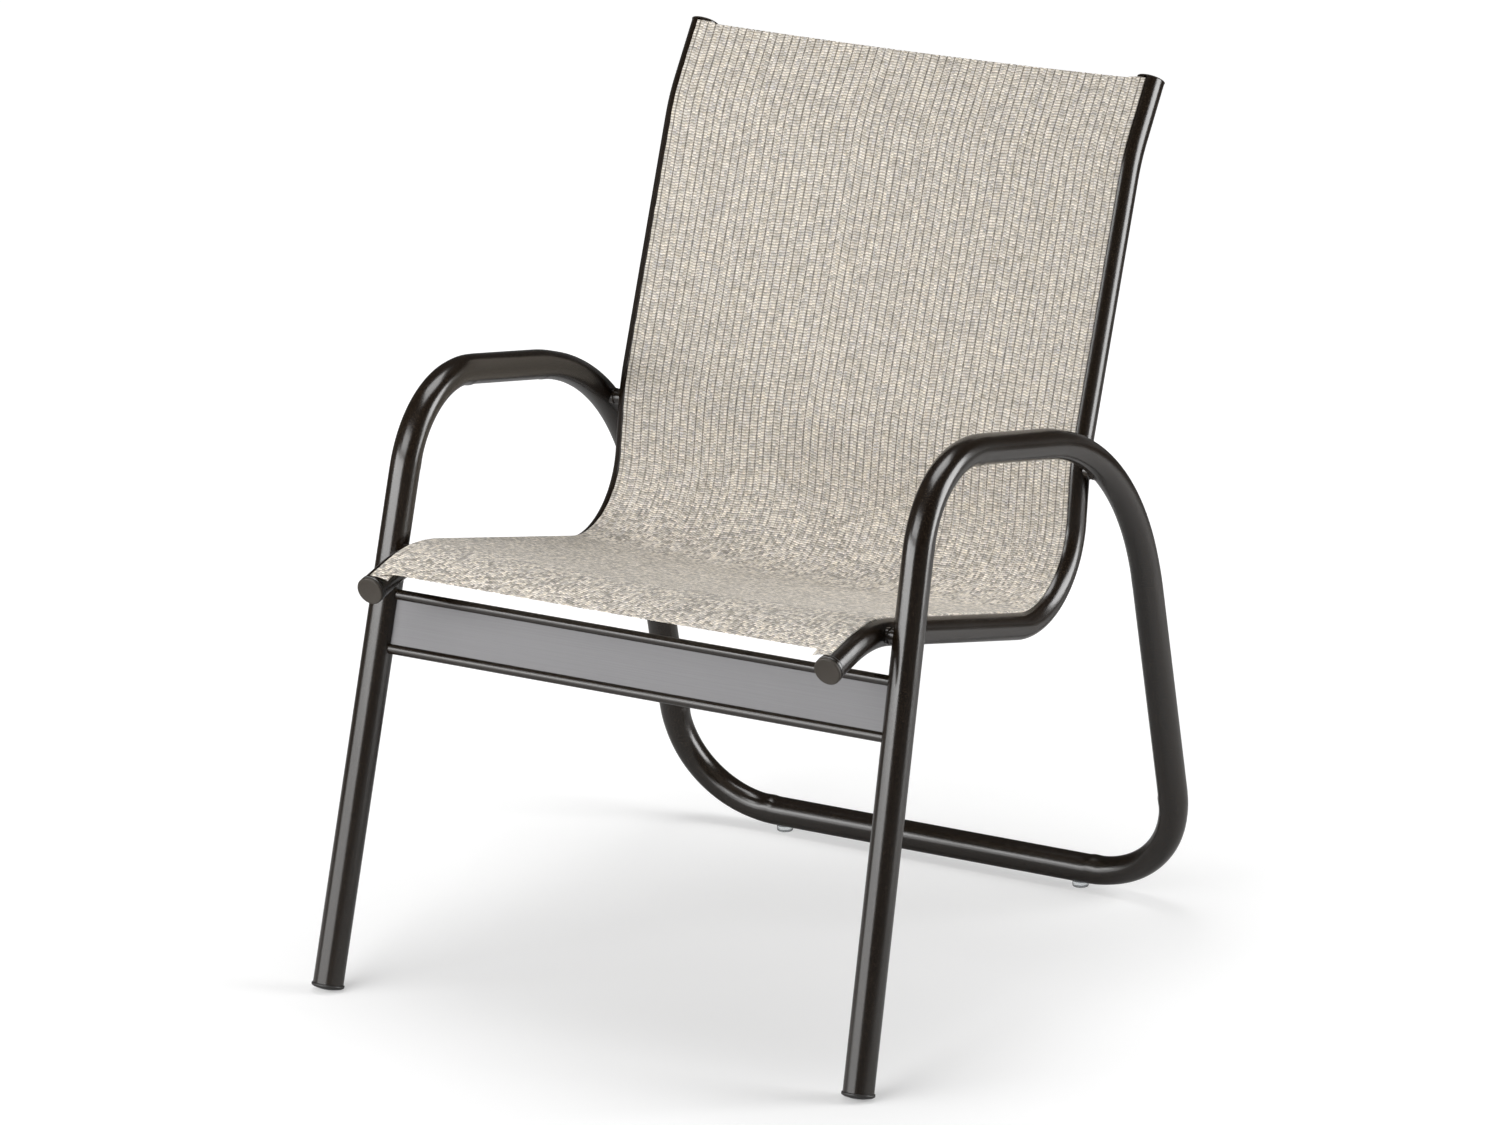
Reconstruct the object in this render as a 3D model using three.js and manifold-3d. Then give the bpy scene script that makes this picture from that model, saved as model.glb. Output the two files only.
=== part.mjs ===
// Sling patio chair that stacks: a bent tube base, a wide front stretcher, two sling rails bolted
// inside the arms, and one stretched panel of woven sling fabric. Millimetres, +Z up. The sitter
// faces -Y, and the sitter's left is +X.
import * as THREE from 'three';
import { mergeVertices } from 'three/addons/utils/BufferGeometryUtils.js';
import Module from 'manifold-3d';

const wasm = await Module();
wasm.setup();

// Base tube: a front leg, an arm, a rear leg and half of the floor rail, bent from one length.
// Each reach is how far it stands outside the sling rail's middle.
const baseDiameter = 31.75;
const baseWall = 2;
const footReach = 47.2;
const footY = -357;
const armFrontReach = 31.7;
const armFrontY = -196;
const armFrontHeight = 622.5;
const armFrontBend = 101;
const armRearReach = 38.2;
const armRearY = 207;
const armRearHeight = 545.5;
const armRearBend = 267;
const floorBendReach = 40.2;
const floorBendY = 339;
const floorBend = 109;
const bendFlatteningShare = 0.085;

// Sling rails: one round extrusion a side with a sling channel along its seat-facing line
const railDiameter = 28.6;
const railWall = 1.8;
const railHalfSpan = 268.8;
const seatFrontY = -335.5;
const seatFrontDrop = 19.5;
const seatKneeY = -262;
const seatKneeHeight = 450.5;
const seatKneeBend = 170;
const seatRearY = 144;
const seatRearHeight = 355;
const seatRearBend = 96;
const lumbarY = 165.5;
const lumbarRise = 176;
const lumbarBend = 230;
const shoulderY = 266;
const shoulderDrop = 73;
const shoulderBend = 170;
const railTopY = 313.5;
const railTopHeight = 896;
const channelBore = 7.2;
const channelWall = 1.5;
const slotWidth = 2.4;

// Sling: coated mesh whose side hems are drawn over plastic splines inside the rail channels
const slingThickness = 1;
const slingHemThickness = 0.7;
const slingSag = 9;
const slingInset = 11;
const splineDiameter = 4.6;

// Front stretcher: a hollow extrusion with a round bead along its top and bottom
const stretcherHeight = 67;
const stretcherBead = 11;
const stretcherWeb = 4.4;
const stretcherWall = 1.2;
const stretcherDrop = 69.5;

// Fixings between the rails and the base
const boltDiameter = 6;
const boltHeadDiameter = 11;
const boltHeadHeight = 3.2;
const boltSocket = 4;
const boltSocketDepth = 2;
const headDomeShare = 0.8;
const nutBody = 9;
const nutFlange = 13;
const nutFlangeThickness = 1.2;
const nutBulb = 11.6;
const nutLength = 13;
const spacerDiameter = 17.5;
const spacerGroove = 1.3;

// Spreader bars: bowed tubes that hold the rails apart behind the sling
const barDiameter = 19;
const barWall = 1.5;
const barBow = 24;
const barEndRun = 34;
const barBend = 130;
const seatBarShare = 0.56;
const backBarShare = 0.6;
const saddleWall = 1.8;
const saddleLength = 17;
const saddleSocketDepth = 9;
const saddlePeg = 8;
const saddlePegReach = 4;

// End pieces
const capOverhang = 0.5;
const capThickness = 3.6;
const capCorner = 0.9;
const capPegLength = 13;
const footLift = 7.5;
const footFlangeOverhang = 1.2;
const footFlangeThickness = 3.4;
const footCrown = 2.6;
const footCrownShares = [[0, 1], [0.5, 0.85], [0.85, 0.33], [1, -0.3]];
const footStemLength = 24;
const footStemWall = 2.4;
const glideHeight = 5.1;
const glideDiameter = 17.5;
const glideChamfer = 1;
const glidePin = 6;
const glidePinLength = 6;
const glideX = 184;
const sleeveLength = 90;
const sleeveWall = 1.8;

// Clearances and how finely the round forms are cut
const seatGap = 0.3;
const jointGap = 0.3;
const overrun = 4;
const bendStep = THREE.MathUtils.degToRad(11);
const tubeSides = 16;
const railArcSteps = 14;
const channelArcSteps = 6;
const hollowArcSteps = 9;
const barSides = 8;
const smallSides = 12;
const slingSpans = 5;

const baseRadius = baseDiameter / 2;
const baseInner = baseRadius - baseWall;
const baseClear = baseInner * Math.cos(Math.PI / tubeSides);
const railRadius = railDiameter / 2;
const railInner = railRadius - railWall;
const channelRadius = channelBore / 2;
const channelUp = railRadius - railWall - channelRadius;
const floorRailHeight = glideHeight + baseRadius;
const footHalfSpan = railHalfSpan + footReach;
const armFrontHalfSpan = railHalfSpan + armFrontReach;
const armRearHalfSpan = railHalfSpan + armRearReach;
const floorBendHalfSpan = railHalfSpan + floorBendReach;
const seatFrontHeight = seatKneeHeight - seatFrontDrop;
const lumbarHeight = seatRearHeight + lumbarRise;
const shoulderHeight = railTopHeight - shoulderDrop;
const X = new THREE.Vector3(1, 0, 0);
const Y = new THREE.Vector3(0, 1, 0);
const Z = new THREE.Vector3(0, 0, 1);

const finish = {
  tube: { color: 0x3a332c, roughness: 0.34, metalness: 0.85 },
  face: { color: 0x4a4541, roughness: 0.42, metalness: 0.8 },
  cap: { color: 0x5c5347, roughness: 0.55, metalness: 0 },
  foot: { color: 0x232120, roughness: 0.6, metalness: 0 },
  clear: { color: 0xd6dbdd, roughness: 0.25, metalness: 0 },
  steel: { color: 0x9a9a98, roughness: 0.35, metalness: 1 },
  sling: { color: 0xc6bba9, roughness: 0.85, metalness: 0 },
  spline: { color: 0xdad7d0, roughness: 0.5, metalness: 0 },
};

const chair = new THREE.Group();

function solidFrom(points, faces) {
  let volume = 0;
  for (let i = 0; i < faces.length; i += 3) {
    const [a, b, c] = faces.slice(i, i + 3).map((n) => points[n]);
    volume += a.dot(b.clone().cross(c));
  }
  const triVerts = new Uint32Array(faces);
  if (volume < 0) triVerts.reverse();
  const vertProperties = new Float32Array(points.flatMap((p) => [p.x, p.y, p.z]));
  return new wasm.Manifold(new wasm.Mesh({ numProp: 3, vertProperties, triVerts }));
}

function solidOf(geometry) {
  geometry.deleteAttribute('normal');
  geometry.deleteAttribute('uv');
  const merged = mergeVertices(geometry);
  const place = merged.getAttribute('position');
  const pointAt = (_, n) => new THREE.Vector3().fromBufferAttribute(place, n);
  const points = Array.from({ length: place.count }, pointAt);
  const index = Array.from(merged.getIndex().array);
  const faces = [];
  for (let i = 0; i < index.length; i += 3) {
    const [a, b, c] = index.slice(i, i + 3);
    if (a !== b && b !== c && c !== a) faces.push(a, b, c);
  }
  return solidFrom(points, faces);
}

function addPiece(name, solid, look) {
  const { vertProperties, triVerts } = solid.getMesh();
  const geometry = new THREE.BufferGeometry();
  geometry.setAttribute('position', new THREE.BufferAttribute(vertProperties, 3));
  geometry.setIndex(new THREE.BufferAttribute(triVerts, 1));
  geometry.computeVertexNormals();
  const mesh = new THREE.Mesh(geometry, new THREE.MeshStandardMaterial(look));
  mesh.name = name;
  chair.add(mesh);
}

// The same solid on the other side of the chair
function mirrored(solid) {
  const { vertProperties, triVerts } = solid.getMesh();
  const flipped = vertProperties.map((value, n) => (n % 3 === 0 ? -value : value));
  triVerts.reverse();
  return new wasm.Manifold(new wasm.Mesh({ numProp: 3, vertProperties: flipped, triVerts }));
}

// Adds the piece on the sitter's left and its mirror image on the right
function addPair(name, solid, look) {
  addPiece(`left_${name}`, solid, look);
  addPiece(`right_${name}`, mirrored(solid), look);
}

// A bent tube's stations: its ends, and an arc at each inner corner. Inside a bend a station
// also knows the way to the bend's centre.
function bentPath(corners, radii, firstUp) {
  const stations = [];
  const heading = (from, to) => to.clone().sub(from).normalize();
  stations.push({ at: corners[0], heading: heading(corners[0], corners[1]) });
  radii.forEach((radius, n) => {
    const [before, corner, after] = corners.slice(n, n + 3);
    const into = heading(before, corner);
    const out = heading(corner, after);
    const turn = into.angleTo(out);
    const bisector = out.clone().sub(into).normalize();
    const centre = corner.clone().addScaledVector(bisector, radius / Math.cos(turn / 2));
    const start = corner.clone().addScaledVector(into, -radius * Math.tan(turn / 2));
    const inward = heading(start, centre);
    const steps = Math.max(2, Math.round(turn / bendStep));
    for (let k = 0; k <= steps; k++) {
      const angle = (turn * k) / steps;
      const [cos, sin] = [Math.cos(angle), Math.sin(angle)];
      const toCentre = inward.clone().multiplyScalar(cos).addScaledVector(into, -sin);
      stations.push({
        at: centre.clone().addScaledVector(toCentre, -radius),
        heading: into.clone().multiplyScalar(cos).addScaledVector(inward, sin),
        toCentre: k > 0 && k < steps ? toCentre : null,
      });
    }
  });
  const [last, end] = corners.slice(-2);
  stations.push({ at: end, heading: heading(last, end) });
  return withFrames(stations, firstUp);
}

// Carries the section's up direction along the stations without twist
function withFrames(stations, firstUp) {
  let up = firstUp;
  for (const station of stations) {
    up = up.clone().addScaledVector(station.heading, -up.dot(station.heading)).normalize();
    station.up = up;
    station.side = station.heading.clone().cross(up);
  }
  return stations;
}

// Closed solid through the stations. ringsAt gives the outline and the holes at a station, all
// with the same number of points from one station to the next.
function loft(stations, ringsAt, flatteningShare = 0) {
  const points = [];
  const faces = [];
  const sections = stations.map(ringsAt);
  const counts = sections[0].map((ring) => ring.length);
  const perStation = counts.reduce((sum, count) => sum + count, 0);
  stations.forEach((station, k) => {
    for (const point of sections[k].flat()) {
      const offset = station.side.clone().multiplyScalar(point.x).addScaledVector(station.up, point.y);
      const outward = station.toCentre ? -offset.dot(station.toCentre) : 0;
      if (outward > 0) offset.addScaledVector(station.toCentre, outward * 2 * flatteningShare);
      points.push(offset.add(station.at));
    }
  });
  for (let k = 0; k + 1 < stations.length; k++) {
    let first = k * perStation;
    for (const count of counts) {
      for (let i = 0; i < count; i++) {
        const a = first + i;
        const b = first + ((i + 1) % count);
        faces.push(a, b, b + perStation, a, b + perStation, a + perStation);
      }
      first += count;
    }
  }
  const lastStation = (stations.length - 1) * perStation;
  for (const [section, base, flip] of [[sections[0], 0, true], [sections.at(-1), lastStation, false]]) {
    for (const face of THREE.ShapeUtils.triangulateShape(section[0], section.slice(1))) {
      const corners = face.map((n) => n + base);
      faces.push(...(flip ? corners.reverse() : corners));
    }
  }
  return solidFrom(points, faces);
}

function arc(centreX, centreY, radius, from, to, steps) {
  return Array.from({ length: steps + 1 }, (_, k) => {
    const angle = from + ((to - from) * k) / steps;
    return new THREE.Vector2(centreX + radius * Math.cos(angle), centreY + radius * Math.sin(angle));
  });
}

const fullTurn = 2 * Math.PI;
const quarterTurn = Math.PI / 2;

function circle(radius, sides, centreX = 0, centreY = 0) {
  return arc(centreX, centreY, radius, 0, fullTurn, sides).slice(0, sides);
}

function hollowTube(stations, outer, inner, sides, flatteningShare = 0) {
  const rings = [circle(outer, sides), circle(inner, sides).reverse()];
  return loft(stations, () => rings, flatteningShare);
}

function rod(stations, radius, sides, flatteningShare = 0) {
  return loft(stations, () => [circle(radius, sides)], flatteningShare);
}

// Round piece about an axis that starts at a place and points a way; the profile lists
// [radius, distance along the axis]
function turned(profile, at, way, sides = smallSides) {
  const geometry = new THREE.LatheGeometry(profile.map(([r, h]) => new THREE.Vector2(r, h)), sides);
  geometry.applyQuaternion(new THREE.Quaternion().setFromUnitVectors(Y, way));
  geometry.translate(at.x, at.y, at.z);
  return solidOf(geometry);
}

function drill(radius, at, way, from, to) {
  return turned([[0, from], [radius, from], [radius, to], [0, to]], at, way);
}

// Base: the tube's path on the sitter's left, from the front foot round to the middle behind
const foot = new THREE.Vector3(footHalfSpan, footY, 0);
const armFront = new THREE.Vector3(armFrontHalfSpan, armFrontY, armFrontHeight);
const armRear = new THREE.Vector3(armRearHalfSpan, armRearY, armRearHeight);
const floorCorner = new THREE.Vector3(floorBendHalfSpan, floorBendY, floorRailHeight);
const railMiddle = new THREE.Vector3(jointGap / 2, floorBendY, floorRailHeight);
const legWay = armFront.clone().sub(foot).normalize();
const legEnd = foot.clone().addScaledVector(legWay, footLift);
const basePath = bentPath([legEnd, armFront, armRear, floorCorner, railMiddle],
  [armFrontBend, armRearBend, floorBend], Y.clone().negate());
const baseCore = rod(basePath, baseRadius + seatGap, tubeSides, bendFlatteningShare);

// Sling rail path on the sitter's left, with stations where the sling starts and ends
const railSide = (y, z) => new THREE.Vector3(railHalfSpan, y, z);
const railPath = bentPath([
  railSide(seatFrontY, seatFrontHeight),
  railSide(seatKneeY, seatKneeHeight),
  railSide(seatRearY, seatRearHeight),
  railSide(lumbarY, lumbarHeight),
  railSide(shoulderY, shoulderHeight),
  railSide(railTopY, railTopHeight),
], [seatKneeBend, seatRearBend, lumbarBend, shoulderBend], Z);
const railFront = railPath[0];
const railTop = railPath.at(-1);
const moved = (station, run) => (
  { ...station, at: station.at.clone().addScaledVector(station.heading, run) });
railPath.splice(1, 0, moved(railFront, slingInset));
railPath.splice(-1, 0, moved(railTop, -slingInset));
const slingPath = railPath.slice(1, -1);
const slotAngle = Math.asin(slotWidth / 2 / railRadius);
const railArc = (radius) => arc(0, 0, radius, quarterTurn + slotAngle,
  quarterTurn - slotAngle + fullTurn, railArcSteps);
const railCore = loft(railPath, () => [railArc(railRadius + seatGap)]);

// Where the rail and the base tube cross, seen from the side
function crossings(rail, base) {
  const found = [];
  for (let r = 0; r + 1 < rail.length; r++) {
    for (let b = 0; b + 1 < base.length; b++) {
      const [p, q] = [rail[r].at, rail[r + 1].at];
      const [s, t] = [base[b].at, base[b + 1].at];
      const [along, across] = [q.clone().sub(p), t.clone().sub(s)];
      const apart = s.clone().sub(p);
      const cross = along.y * across.z - along.z * across.y;
      const shareRail = (apart.y * across.z - apart.z * across.y) / cross;
      const shareBase = (apart.y * along.z - apart.z * along.y) / cross;
      if (shareRail >= 0 && shareRail < 1 && shareBase >= 0 && shareBase < 1) {
        const onRail = p.clone().addScaledVector(along, shareRail);
        found.push({ onRail, reach: s.x + across.x * shareBase - onRail.x });
      }
    }
  }
  return found;
}

const [frontCrossing, rearCrossing] = crossings(railPath, basePath);
const joints = [['front', frontCrossing], ['rear', rearCrossing]];

// Side frames, with a hole for each rivet nut and for the pin of the rear glide
const boltRadius = boltDiameter / 2;
const nutRadius = nutBody / 2;
const glideAt = new THREE.Vector3(glideX, floorBendY, 0);
let sideFrame = hollowTube(basePath, baseRadius, baseInner, tubeSides, bendFlatteningShare);
for (const [, { onRail, reach }] of joints) {
  const hole = drill(nutRadius + seatGap, onRail, X, reach - baseRadius - overrun, reach);
  sideFrame = sideFrame.subtract(hole);
}
sideFrame = sideFrame.subtract(drill(glidePin / 2 + seatGap, glideAt, Z, 0, floorRailHeight));
addPair('side_frame', sideFrame, finish.tube);

// Sleeve inside the floor rail, across the joint between the side frames
const sleeveEnd = (x) => new THREE.Vector3(x, floorBendY, floorRailHeight);
const sleevePath = withFrames([
  { at: sleeveEnd(sleeveLength / 2), heading: X.clone().negate() },
  { at: sleeveEnd(-sleeveLength / 2), heading: X.clone().negate() },
], basePath.at(-1).up);
const sleeveRadius = baseInner - seatGap;
const sleeve = hollowTube(sleevePath, sleeveRadius, sleeveRadius - sleeveWall, tubeSides);
addPiece('floor_rail_sleeve', sleeve, finish.steel);

// Front stretcher: its section stands in the plane of the front legs, and its ends are coped
const stretcherShare = (frontCrossing.onRail.z - stretcherDrop) / armFrontHeight;
const stretcherAt = foot.clone().lerp(armFront, stretcherShare);
const stretcherUp = new THREE.Vector3(0, legWay.y, legWay.z).normalize();
const beadRadius = stretcherBead / 2;
const beadUp = stretcherHeight / 2 - beadRadius;
const webHalf = stretcherWeb / 2;
const webAngle = Math.asin(webHalf / beadRadius);
const webHollow = webHalf - stretcherWall;
const hollowUp = beadUp - beadRadius * Math.cos(webAngle) + webHollow;
const beadSteps = 9;
const stretcherOutline = [
  ...arc(0, beadUp, beadRadius, webAngle - quarterTurn, fullTurn - quarterTurn - webAngle, beadSteps),
  ...arc(0, -beadUp, beadRadius, quarterTurn + webAngle, fullTurn + quarterTurn - webAngle, beadSteps),
];
const stretcherHollow = [
  new THREE.Vector2(webHollow, hollowUp),
  new THREE.Vector2(webHollow, -hollowUp),
  new THREE.Vector2(-webHollow, -hollowUp),
  new THREE.Vector2(-webHollow, hollowUp),
];
const stretcherEnd = (x) => new THREE.Vector3(x, stretcherAt.y, stretcherAt.z);
const stretcherPath = withFrames([
  { at: stretcherEnd(-stretcherAt.x), heading: X },
  { at: stretcherEnd(stretcherAt.x), heading: X },
], stretcherUp);
const stretcher = loft(stretcherPath, () => [stretcherOutline, stretcherHollow])
  .subtract(baseCore).subtract(mirrored(baseCore));
addPiece('front_stretcher', stretcher, finish.face);

// Sling rail section: a round tube whose sling channel opens through a slot at the top
const mouthAngle = Math.asin(slotWidth / 2 / channelRadius);
const channelOuter = channelRadius + channelWall;
const meetUp = (railInner ** 2 - channelOuter ** 2 + channelUp ** 2) / (2 * channelUp);
const meetAngle = Math.acos(meetUp / railInner);
const wallAngle = Math.acos((meetUp - channelUp) / channelOuter);
const railOutline = [
  ...railArc(railRadius),
  ...arc(0, channelUp, channelRadius, quarterTurn - mouthAngle,
    quarterTurn + mouthAngle - fullTurn, channelArcSteps),
];
const railHollow = [
  ...arc(0, 0, railInner, quarterTurn - meetAngle, quarterTurn + meetAngle - fullTurn, hollowArcSteps),
  ...arc(0, channelUp, channelOuter, quarterTurn + wallAngle,
    quarterTurn - wallAngle + fullTurn, channelArcSteps).slice(1, -1),
];

// Places of the spreader bars along the straight runs of the seat and of the back
function alongRun(from, to, share) {
  const way = to.clone().sub(from).normalize();
  return { at: from.clone().lerp(to, share), up: X.clone().cross(way) };
}

const [seatKnee, seatRear] = [railSide(seatKneeY, seatKneeHeight), railSide(seatRearY, seatRearHeight)];
const [lumbar, shoulder] = [railSide(lumbarY, lumbarHeight), railSide(shoulderY, shoulderHeight)];
const bars = [
  ['seat', alongRun(seatKnee, seatRear, seatBarShare)],
  ['back', alongRun(lumbar, shoulder, backBarShare)],
];
const inward = X.clone().negate();
const pegRadius = saddlePeg / 2;
const pegStart = railInner - saddlePegReach;

const boltHole = boltRadius + seatGap;
const past = railRadius + overrun;
let slingRail = loft(railPath, () => [railOutline, railHollow]);
for (const [, { onRail }] of joints) {
  slingRail = slingRail.subtract(drill(boltHole, onRail, X, -past, past));
}
for (const [, { at }] of bars) {
  slingRail = slingRail.subtract(drill(pegRadius + seatGap, at, inward, pegStart - seatGap, past));
}
addPair('sling_rail', slingRail, finish.tube);

// Fixings at each crossing: a coped spacer, a rivet nut set in the base tube, and a button head
// screw that enters from the inner side of the rail
for (const [place, { onRail, reach }] of joints) {
  const nutSeat = reach - baseRadius - seatGap;
  const bulbRadius = nutBulb / 2;
  const bulbStart = reach - Math.sqrt(baseClear ** 2 - bulbRadius ** 2) + 2 * seatGap;
  const nutEnd = nutSeat + nutLength;
  const bulbEnd = (bulbStart + nutEnd) / 2;
  const flangeTop = nutSeat - nutFlangeThickness;
  const nut = turned([
    [boltHole, flangeTop], [nutFlange / 2, flangeTop], [nutFlange / 2, nutSeat], [nutRadius, nutSeat],
    [nutRadius, bulbStart], [bulbRadius, bulbStart], [nutRadius, bulbEnd], [nutRadius, nutEnd],
    [boltHole, nutEnd], [boltHole, flangeTop],
  ], onRail, X);
  addPair(`${place}_rivet_nut`, nut, finish.steel);

  const spacerRadius = spacerDiameter / 2;
  const middle = (railRadius + reach - baseRadius) / 2;
  const grooveHalf = spacerGroove / 2;
  const spacer = turned([
    [boltHole, 0], [spacerRadius, 0], [spacerRadius, middle - spacerGroove],
    [spacerRadius - spacerGroove, middle - grooveHalf], [spacerRadius - spacerGroove, middle + grooveHalf],
    [spacerRadius, middle + spacerGroove], [spacerRadius, reach], [boltHole, reach], [boltHole, 0],
  ], onRail, X)
    .subtract(railCore).subtract(baseCore)
    .subtract(drill(nutFlange / 2 + seatGap, onRail, X, flangeTop - seatGap, reach));
  addPair(`${place}_spacer`, spacer, finish.tube);

  const headSeat = railRadius + seatGap;
  const headRadius = boltHeadDiameter / 2;
  const headTop = headSeat + boltHeadHeight;
  const shankEnd = -(nutEnd - boltRadius);
  const screw = turned([
    [0, shankEnd], [boltRadius, shankEnd], [boltRadius, headSeat], [headRadius, headSeat],
    [headRadius, headSeat + boltHeadHeight / 3], [headRadius * headDomeShare, headTop - boltHeadHeight / 5],
    [headRadius / 2, headTop], [0, headTop],
  ], onRail, inward);
  const socketRadius = boltSocket / Math.sqrt(3);
  const socket = new THREE.CylinderGeometry(socketRadius, socketRadius, boltSocketDepth * 2, 6);
  socket.rotateZ(quarterTurn);
  socket.translate(onRail.x - headTop, onRail.y, onRail.z);
  addPair(`${place}_bolt`, screw.subtract(solidOf(socket)), finish.steel);
}

// Spreader bars bow away from the sling, and plug into plastic saddles that peg into the rails
const barRadius = barDiameter / 2;
const saddleRadius = barRadius + saddleWall;
const saddleEnd = railRadius + saddleLength;
const socketFloor = saddleEnd - saddleSocketDepth;
const socketRadius = (barRadius + seatGap) / Math.cos(Math.PI / smallSides);
for (const [place, { at, up }] of bars) {
  const saddle = turned([
    [0, 0], [saddleRadius, 0], [saddleRadius, saddleEnd], [socketRadius, saddleEnd],
    [socketRadius, socketFloor], [0, socketFloor],
  ], at, inward)
    .subtract(railCore)
    .add(drill(pegRadius, at, inward, pegStart, railRadius + saddleWall));
  addPair(`${place}_bar_saddle`, saddle, finish.foot);

  const onBar = (x, bow) => new THREE.Vector3(x, at.y, at.z).addScaledVector(up, -bow);
  const barHalf = railHalfSpan - socketFloor - seatGap;
  const bendX = barHalf - barEndRun;
  const barPath = bentPath([
    onBar(-barHalf, 0), onBar(-bendX, 0), onBar(-bendX / 2, barBow),
    onBar(bendX / 2, barBow), onBar(bendX, 0), onBar(barHalf, 0),
  ], [barBend, barBend, barBend, barBend], up);
  const bar = hollowTube(barPath, barRadius, barRadius - barWall, barSides);
  addPiece(`${place}_spreader_bar`, bar, finish.tube);
}

// End caps: a flange over the rail's end and a peg in the hollow below the channel
const capRadius = railRadius + capOverhang;
const hollowTop = channelUp - channelOuter;
const capPegRadius = (hollowTop + railInner) / 2 - 2 * seatGap;
const capPegUp = (hollowTop - railInner) / 2;
for (const [place, station, sign] of [['front', railFront, -1], ['top', railTop, 1]]) {
  const outward = station.heading.clone().multiplyScalar(sign);
  const pegAt = station.at.clone().addScaledVector(station.up, capPegUp);
  const cap = turned([
    [0, seatGap], [capRadius - capCorner / 2, seatGap], [capRadius, seatGap + capCorner],
    [capRadius, capThickness - capCorner], [capRadius - capCorner, capThickness],
    [0, capThickness],
  ], station.at, outward, tubeSides)
    .add(drill(capPegRadius, pegAt, outward, -capPegLength, capThickness / 2));
  addPair(`rail_${place}_cap`, cap, finish.cap);
}

// Front feet: a stem in the leg, a flange under its square cut end, and a crowned sole that is
// flat where it stands on the floor
const stemRadius = baseClear - seatGap;
const flangeRadius = baseRadius + footFlangeOverhang;
const flangeTop = footLift - seatGap;
const flangeEnd = flangeTop - footFlangeThickness;
const stemTop = footLift + footStemLength;
const stemBore = stemRadius - footStemWall;
const footPiece = turned([
  ...footCrownShares.map(([across, down]) => [flangeRadius * across, flangeEnd - footCrown * down]),
  [flangeRadius, flangeTop], [stemRadius, flangeTop], [stemRadius, stemTop], [stemBore, stemTop],
  [stemBore, footLift + footStemWall], [0, footLift + footStemWall],
], foot, legWay, tubeSides);
const underFloor = new THREE.BoxGeometry(baseDiameter * 2, baseDiameter * 2, baseDiameter);
underFloor.translate(foot.x, foot.y, -baseRadius);
addPair('front_foot', footPiece.subtract(solidOf(underFloor)), finish.foot);

// Rear glides: a clear pad coped to the floor rail, with a pin through the tube's wall
const glideRadius = glideDiameter / 2;
const pinRadius = glidePin / 2;
const glide = turned([
  [0, 0], [glideRadius - glideChamfer, 0], [glideRadius, glideChamfer],
  [glideRadius, floorRailHeight], [0, floorRailHeight],
], glideAt, Z)
  .subtract(baseCore)
  .add(drill(pinRadius, glideAt, Z, glideHeight / 2, glideHeight + glidePinLength));
addPair('rear_glide', glide, finish.clear);

// Sling panel: it lies tangent on both rails, hangs a little slack between them, and its side
// hems go down through the slots and round the splines
const slingBottom = railRadius + seatGap;
const slingTop = slingBottom + slingThickness;
const hemHalf = slotWidth / 2 - seatGap;
const splineRadius = splineDiameter / 2;
const loopInner = splineRadius + seatGap;
const loopOuter = loopInner + slingHemThickness;
const loopAngle = Math.asin(hemHalf / loopOuter);
const spanHalf = railHalfSpan - hemHalf;

function across(from, to, height) {
  return Array.from({ length: slingSpans + 1 }, (_, k) => {
    const x = from + ((to - from) * k) / slingSpans;
    return new THREE.Vector2(x, height - slingSag * (1 - (x / railHalfSpan) ** 2));
  });
}

const hemLoop = (x) => arc(x, channelUp, loopOuter, quarterTurn + loopAngle,
  quarterTurn - loopAngle + fullTurn, channelArcSteps);
const hemBore = (x) => circle(loopInner, channelArcSteps, x, channelUp).reverse();
const slingOutline = [
  new THREE.Vector2(railHalfSpan + hemHalf, slingTop),
  ...across(spanHalf, -spanHalf, slingTop),
  new THREE.Vector2(-railHalfSpan - hemHalf, slingTop),
  ...hemLoop(-railHalfSpan),
  ...across(-spanHalf, spanHalf, slingBottom),
  ...hemLoop(railHalfSpan),
];
const middlePath = withFrames(slingPath.map(({ at, heading }) => (
  { at: new THREE.Vector3(0, at.y, at.z), heading })), Z);
const slingRings = [slingOutline, hemBore(-railHalfSpan), hemBore(railHalfSpan)];
addPiece('sling_panel', loft(middlePath, () => slingRings), finish.sling);

const splinePath = slingPath.map((station) => (
  { ...station, at: station.at.clone().addScaledVector(station.up, channelUp) }));
addPair('sling_spline', rod(splinePath, splineRadius, channelArcSteps), finish.spline);

// The chair's origin is on the floor, in the middle of its width and of its depth
const box = new THREE.Box3().setFromObject(chair);
chair.position.y = -(box.min.y + box.max.y) / 2;

export default chair;
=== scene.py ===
import math
from collections import namedtuple

import bpy
from mathutils import Matrix, Vector


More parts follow.
